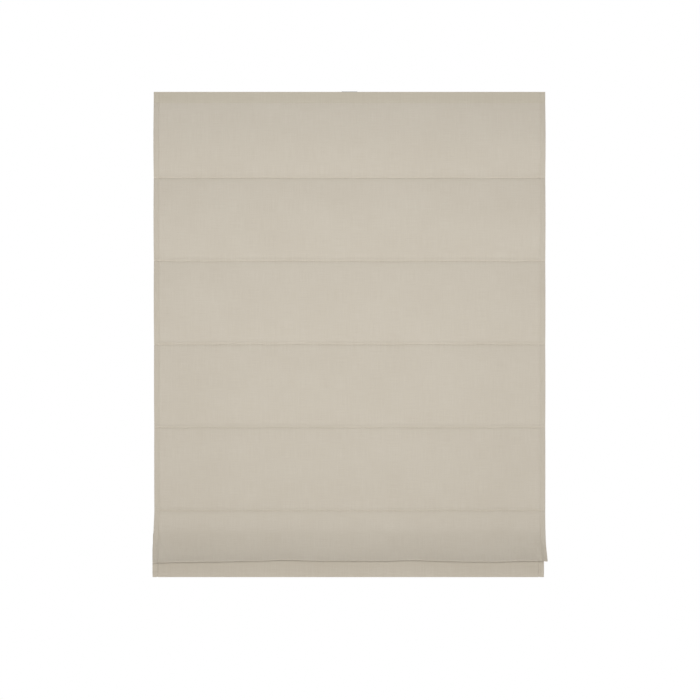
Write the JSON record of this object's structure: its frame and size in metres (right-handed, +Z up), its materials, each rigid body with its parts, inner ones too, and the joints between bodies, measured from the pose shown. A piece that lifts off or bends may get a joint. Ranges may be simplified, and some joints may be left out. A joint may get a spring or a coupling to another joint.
{
  "type": "roman blind",
  "caption": "Flat roman blind of linen-look cloth on a slim headrail, with rods in sewn seams, lift cords, a standing last fold and a weighted bottom hem.",
  "frame": {"origin": "on the wall plane, midway between the centre bracket's two screw holes, at the drive shaft's height", "axes": "+Z up, +X to the right as seen from the room, +Y into the wall, so the front faces -Y"},
  "size_m": [1, 0.0622, 1.2413],
  "materials": {
    "linen": "plain weave, unlined",
    "sleeve_tape": "woven tape",
    "touch_tape": "hook and loop",
    "cord": "braided",
    "rail_enamel": "satin enamel",
    "bar_aluminium": "mill",
    "steel": "zinc plated",
    "white_moulding": "moulded",
    "clear_moulding": "moulded",
    "glass_fibre": "pultruded"
  },
  "bodies": {
    "headrail": {"headrail": "rail_enamel", "end_cap_left": "white_moulding", "end_cap_right": "white_moulding", "bracket_left": "steel", "bracket_right": "steel", "bracket_centre": "steel", "hook_tape": "touch_tape", "loop_tape": "touch_tape", "blind_cloth": "linen", "drum_cradle_1": "white_moulding", "drum_cradle_2": "white_moulding", "drum_cradle_3": "white_moulding", "lift_cord_1": "cord", "lift_cord_2": "cord", "lift_cord_3": "cord", "spring_barrel": "white_moulding", "barrel_cover": "white_moulding", "power_spring": "steel", "brake_housing": "white_moulding", "brake_spring": "steel"},
    "lift_shaft": {"drive_shaft": "steel", "cord_drum_1": "white_moulding", "cord_drum_2": "white_moulding", "cord_drum_3": "white_moulding", "spring_arbor": "white_moulding", "brake_hub": "white_moulding"},
    "rod_1": {"rod_1": "glass_fibre", "rod_sleeve_1": "sleeve_tape", "cord_clips_1": "clear_moulding"},
    "rod_2": {"rod_2": "glass_fibre", "rod_sleeve_2": "sleeve_tape", "cord_clips_2": "clear_moulding"},
    "rod_3": {"rod_3": "glass_fibre", "rod_sleeve_3": "sleeve_tape", "cord_clips_3": "clear_moulding"},
    "rod_4": {"rod_4": "glass_fibre", "rod_sleeve_4": "sleeve_tape", "cord_clips_4": "clear_moulding"},
    "rod_5": {"rod_5": "glass_fibre", "rod_sleeve_5": "sleeve_tape", "cord_clips_5": "clear_moulding"},
    "bottom": {"rod_6": "glass_fibre", "rod_sleeve_6": "sleeve_tape", "cord_clips_6": "clear_moulding", "bottom_bar": "bar_aluminium", "bottom_bar_caps": "white_moulding"}
  },
  "joints": [
    {"name": "lift", "type": "slide", "parent": "headrail", "child": "rod_1", "axis": [0, 0, 1], "range_m": [0, 0.17], "deforming": ["blind_cloth", "lift_cord_1", "lift_cord_2", "lift_cord_3"]},
    {"name": "rod_2_slide", "type": "slide", "parent": "rod_1", "child": "rod_2", "axis": [0, 0, 1], "range_m": [0, 0.1985]},
    {"name": "rod_3_slide", "type": "slide", "parent": "rod_2", "child": "rod_3", "axis": [0, 0, 1], "range_m": [0, 0.1985]},
    {"name": "rod_4_slide", "type": "slide", "parent": "rod_3", "child": "rod_4", "axis": [0, 0, 1], "range_m": [0, 0.1985]},
    {"name": "rod_5_slide", "type": "slide", "parent": "rod_4", "child": "rod_5", "axis": [0, 0, 1], "range_m": [0, 0.1985]},
    {"name": "bottom_slide", "type": "slide", "parent": "rod_5", "child": "bottom", "axis": [0, 0, 1], "range_m": [0, 0.038]},
    {"name": "shaft_turn", "type": "hinge", "parent": "headrail", "child": "lift_shaft", "pos_m": [0, -0.018, 0], "axis": [1, 0, 0], "range_deg": [-6760, 0]}
  ],
  "couplings": [
    {"joint": "rod_2_slide", "follows": "lift", "ratio": 1.1676},
    {"joint": "rod_3_slide", "follows": "lift", "ratio": 1.1676},
    {"joint": "rod_4_slide", "follows": "lift", "ratio": 1.1676},
    {"joint": "rod_5_slide", "follows": "lift", "ratio": 1.1676},
    {"joint": "bottom_slide", "follows": "lift", "ratio": 0.22353},
    {"joint": "shaft_turn", "follows": "lift", "rad_per_m": -693.43}
  ]
}
